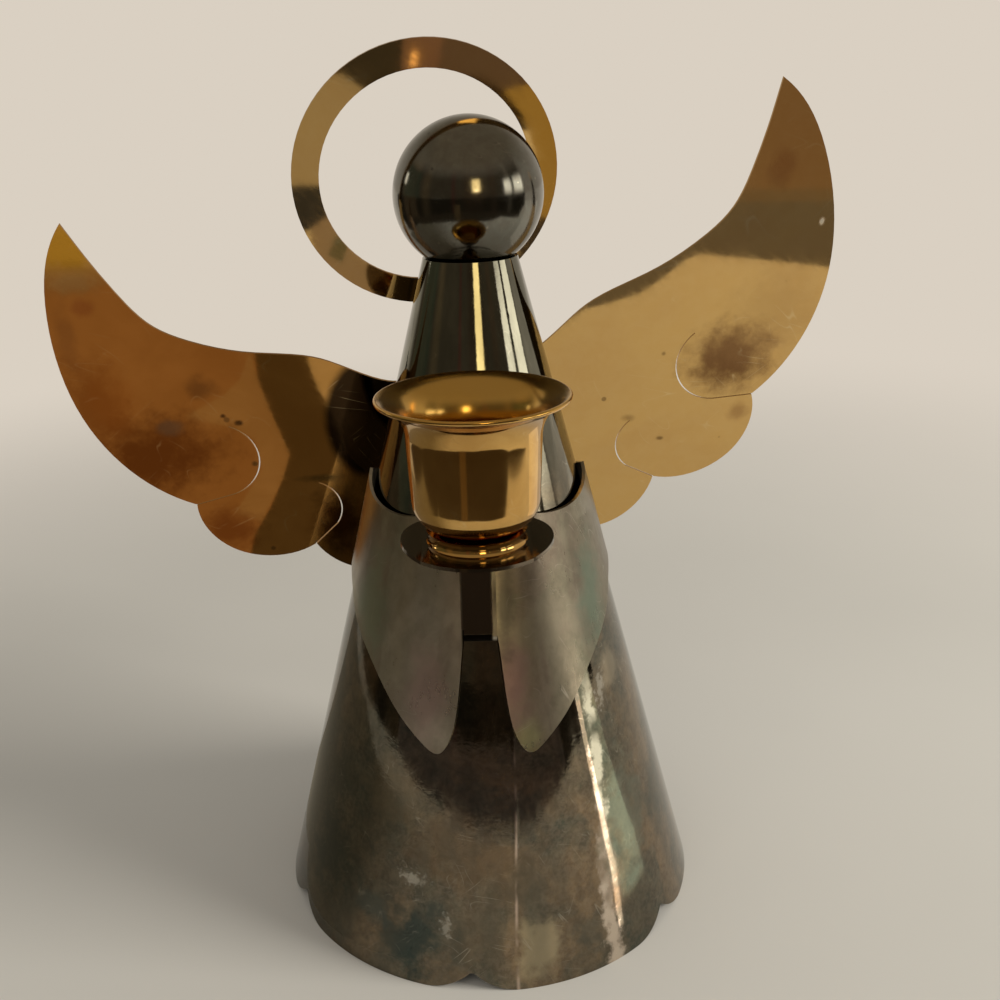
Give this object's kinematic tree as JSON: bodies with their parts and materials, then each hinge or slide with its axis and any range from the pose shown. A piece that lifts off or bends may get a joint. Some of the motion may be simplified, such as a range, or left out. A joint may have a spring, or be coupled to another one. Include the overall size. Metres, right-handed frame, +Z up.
{
  "type": "angel candle holder",
  "caption": "Free-standing sheet-metal angel: conical gown, ball head, sleeved cape with a candle cup on its tab, and a wing and halo plate that swivels at the back.",
  "frame": {"origin": "on the table, in the plane of the hem's feet, below the middle of the whole outline; the gown's axis stands at x 5.41 mm and y 4.49 mm", "axes": "+Z up along the gown's axis, -Y towards the front where the candle cup stands, +X to the right seen from the front"},
  "size_m": [0.1754, 0.107, 0.1913],
  "materials": {
    "gown_plate": "tarnished silver plate, mottled brown, olive and blue-grey, worn",
    "cape_plate": "satin silver plate with purple and green tarnish and fine upright rub marks",
    "head_plate": "polished, nearly black tarnished silver plate",
    "wing_brass": "polished brass sheet with brown heat tarnish, rubs and scratches",
    "cup_brass": "mirror-polished spun brass",
    "fixing_brass": "turned brass, dulled",
    "rivet_brass": "hammered rivet heads, dulled",
    "fixing_steel": "plain zinc-plated fixings inside the gown",
    "inner_brass": "unpolished brass, soldered inside"
  },
  "bodies": {
    "stand": {"gown": "gown_plate", "neck_disc": "inner_brass", "head_ball": "head_plate", "head_boss": "inner_brass", "head_stud": "fixing_steel", "head_washer": "fixing_steel", "head_nut": "fixing_steel", "cape": "cape_plate", "cape_rivets": "rivet_brass", "candle_cup": "cup_brass", "cup_foot": "cup_brass", "cup_screw": "fixing_brass", "cup_washer": "fixing_brass", "cup_nut": "fixing_brass", "wing_spacer": "fixing_brass", "wing_washer": "fixing_brass", "wing_screw": "fixing_brass", "wing_inner_washer": "fixing_steel", "wing_nut": "fixing_steel"},
    "wings": {"wing_plate": "wing_brass"}
  },
  "joints": [
    {"name": "wing_swivel", "type": "hinge", "parent": "stand", "child": "wings", "pos_m": [0.00267, 0.02562, 0.11414], "axis": [0.1246, -0.959, -0.2548], "range_deg": [-18.7, 1.3]}
  ]
}
